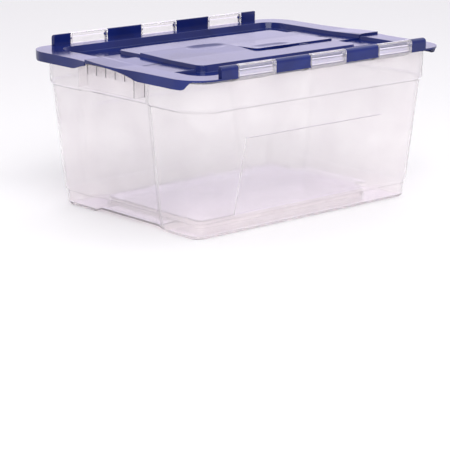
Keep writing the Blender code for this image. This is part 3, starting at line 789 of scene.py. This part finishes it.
def bend_tongue(flap):
    """Let the tongue climb to its free edge, more on the flange, and press the thumb pad into it."""
    run = SEAM_Y - RAMP_START
    for vert in flap.data.vertices:
        x, y, z = vert.co
        climb = min(max((y - RAMP_START) / run, 0.0), 1.0)
        ease = climb * climb / (climb + CLIMB_EASE) * (1 + CLIMB_EASE)
        past = min(max((abs(x) - FLANGE_INNER.x) / FLANGE_RISE_RUN, 0.0), 1.0)
        rise = PANEL_RISE + (FLANGE_RISE - PANEL_RISE) * past
        across = ((x - PAD_CENTRE.x) / PAD_HALF.x) ** 4 + ((y - PAD_CENTRE.y) / PAD_HALF.y) ** 2
        press = PAD_DEPTH * max(1 - across, 0.0) ** 1.5 if z > RIM_Z - TOP_SKIN else 0.0
        vert.co.z = z + rise * ease - press


def add_knuckles(flap, edge):
    """Four hinge knuckles with pin stubs, and the gaps where the tub's hinge boxes stand."""
    inner = AXIS_Y - KNUCKLE_DEPTH
    outer = AXIS_Y + KNUCKLE_DEPTH
    top = AXIS_Z + KNUCKLE_HALF
    for low, high in BOX_SPANS:
        combine(flap, box("hinge_gap", (low, -LID_HALF.y - CUT_REACH, RIM_Z - 2 * CUT_REACH),
                          (high, -inner + HINGE_NOTCH, top + 2 * CUT_REACH)), "DIFFERENCE")
    bottom = RIM_Z - KNUCKLE_SINK
    outline = [(-inner, bottom)]
    outline += arc((-inner - edge, top - edge), edge, 0, 90, 4)
    outline += arc((-outer + KNUCKLE_ROUND, top - KNUCKLE_ROUND), KNUCKLE_ROUND, 90, 180, 10)
    outline.append((-outer + SLIP, bottom))
    knuckles = [
        (-HINGE_STOPS[3], -HINGE_STOPS[2], False, True),
        (-HINGE_STOPS[1], -HINGE_STOPS[0], True, True),
        (HINGE_STOPS[0], HINGE_STOPS[1], True, True),
        (HINGE_STOPS[2], HINGE_STOPS[3], True, False),
    ]
    for low, high, pin_low, pin_high in knuckles:
        combine(flap, bar_along_x("knuckle", outline, low, high, 2.5 * edge), "UNION")
        ends = [(low - PIN_REACH, low + PIN_ROOT)] * pin_low
        ends += [(high - PIN_ROOT, high + PIN_REACH)] * pin_high
        for start, end in ends:
            combine(flap, round_bar("pin", PIN_RADIUS, start, end, -AXIS_Y, AXIS_Z), "UNION")


def make_flap(name, sheet, edge):
    flap = lid_shell(name, sheet)
    part_front(flap)
    add_end_lands(flap, sheet)
    add_ribs(flap, sheet)
    add_finger_recess(flap, sheet)
    cut_rows(flap)
    bend_tongue(flap)
    add_knuckles(flap, edge)
    return flap


# ---------------------------------------------------------------- operators

class TOTE_OT_tub(bpy.types.Operator):
    """Build the clear tub with its hinge boxes and hand grips"""
    bl_idname = "tote.tub"
    bl_label = "Clear tub"

    def execute(self, context):
        sizes = context.scene.tote_sizes
        tub = tub_shell(sizes.wall, sizes.sheet)
        add_hinge_boxes(tub, sizes.wall, sizes.edge)
        add_hand_grips(tub, sizes.wall, sizes.sheet)
        smooth_finish(tub, clear_polypropylene(context.scene.tote_colours))
        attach(tub, "tub")
        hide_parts("tub")
        return {"FINISHED"}


class TOTE_OT_flaps(bpy.types.Operator):
    """Build the two lid flaps, the same moulding turned half a turn"""
    bl_idname = "tote.flaps"
    bl_label = "Lid flaps"

    def execute(self, context):
        sizes = context.scene.tote_sizes
        material = navy_polypropylene(context.scene.tote_colours)
        front = make_flap("navy_front_flap", sizes.sheet, sizes.edge)
        back = bpy.data.objects.new("navy_back_flap", front.data.copy())
        context.scene.collection.objects.link(back)
        back.data.transform(Matrix.Rotation(math.pi, 4, "Z"))
        for flap, body in ((front, "front_flap"), (back, "back_flap")):
            smooth_finish(flap, material)
            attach(flap, body)
            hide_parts(body)
        return {"FINISHED"}


class TOTE_OT_stage(bpy.types.Operator):
    """Lay the pale floor, light the studio softly and set the camera"""
    bl_idname = "tote.stage"
    bl_label = "Studio"

    def execute(self, context):
        studio = context.scene.tote_studio
        low = (-FLOOR_HALF, -FLOOR_HALF, -FLOOR_DEPTH)
        floor = box("studio_floor", low, (FLOOR_HALF, FLOOR_HALF, -FLOOR_GAP))
        floor.data.materials.append(studio_paper(context.scene.tote_colours))
        light_studio(context.scene, studio)
        place_camera(context.scene, studio)
        return {"FINISHED"}


def light_studio(scene, studio):
    """Pale surroundings, brighter behind the tote than in front, and one big soft light by the camera."""
    world = bpy.data.worlds.new("white_studio")
    world.use_nodes = True
    tree = world.node_tree
    tree.nodes.clear()
    direction = add_node(tree, "ShaderNodeTexCoord").outputs["Generated"]
    height = add_node(tree, "ShaderNodeSeparateXYZ", links={"Vector": direction}).outputs["Z"]
    behind = add_node(tree, "ShaderNodeVectorMath", {"operation": "DOT_PRODUCT"})
    behind.inputs[1].default_value = BACKDROP_SIDE
    tree.links.new(direction, behind.inputs[0])
    darkest, brightest = (share * studio.sky for share in SKY_SIDES)
    sides = add_node(tree, "ShaderNodeMapRange",
                     {"From Min": -0.4, "From Max": 0.6, "To Min": darkest, "To Max": brightest},
                     {"Value": behind.outputs["Value"]})
    tint = add_node(tree, "ShaderNodeValToRGB", links={"Fac": height})
    tint.color_ramp.elements.new(0.45)
    for element, (place, colour) in zip(tint.color_ramp.elements, SKY_BANDS.items()):
        element.position = place
        element.color = hex_colour(colour)
    sky = add_node(tree, "ShaderNodeBackground",
                   links={"Color": tint.outputs["Color"], "Strength": sides.outputs["Result"]})
    add_node(tree, "ShaderNodeOutputWorld", links={"Surface": sky.outputs["Background"]})
    scene.world = world
    lamp = bpy.data.lights.new("key_softbox", "AREA")
    lamp.shape = "RECTANGLE"
    lamp.size, lamp.size_y = SOFTBOX_SIZE
    lamp.energy = studio.key_power
    key = bpy.data.objects.new("key_softbox", lamp)
    key.location = SOFTBOX_PLACE
    key.rotation_euler = (SOFTBOX_AIM - SOFTBOX_PLACE).to_track_quat("-Z", "Y").to_euler()
    scene.collection.objects.link(key)
    scene.view_settings.view_transform = "Standard"


def place_camera(scene, studio):
    """A long lens, a little above the lid, looking at the left front corner."""
    camera = bpy.data.cameras.new("camera")
    camera.lens = studio.lens
    camera.sensor_width = 36
    camera.clip_end = 100
    eye = bpy.data.objects.new("camera", camera)
    turn = Matrix.Translation(EYE_PLACE)
    for angle, axis in ((EYE_HEADING, "Z"), (90 - EYE_DIP, "X"), (EYE_ROLL, "Z")):
        turn = turn @ Matrix.Rotation(math.radians(angle), 4, axis)
    eye.matrix_world = turn
    scene.collection.objects.link(eye)
    scene.camera = eye


class TOTE_PT_panel(bpy.types.Panel):
    bl_label = "Storage tote"
    bl_idname = "TOTE_PT_panel"
    bl_space_type = "VIEW_3D"
    bl_region_type = "UI"
    bl_category = "Tote"

    def draw(self, context):
        for name in ("tote_sizes", "tote_colours", "tote_studio"):
            group = getattr(context.scene, name)
            for key in group.__annotations__:
                self.layout.prop(group, key)
        for operator in STEPS:
            self.layout.operator(operator.bl_idname)


STEPS = (TOTE_OT_tub, TOTE_OT_flaps, TOTE_OT_stage)
GROUPS = {"tote_sizes": ToteSizes, "tote_colours": ToteColours, "tote_studio": ToteStudio}


def register():
    for item in (*GROUPS.values(), *STEPS, TOTE_PT_panel):
        bpy.utils.register_class(item)
    for name, group in GROUPS.items():
        setattr(bpy.types.Scene, name, bpy.props.PointerProperty(type=group))


def unregister():
    for name in GROUPS:
        delattr(bpy.types.Scene, name)
    for item in reversed((*GROUPS.values(), *STEPS, TOTE_PT_panel)):
        bpy.utils.unregister_class(item)


def main():
    register()
    bpy.ops.tote.tub()
    bpy.ops.tote.flaps()
    bpy.ops.tote.stage()


if __name__ == "__main__":
    main()
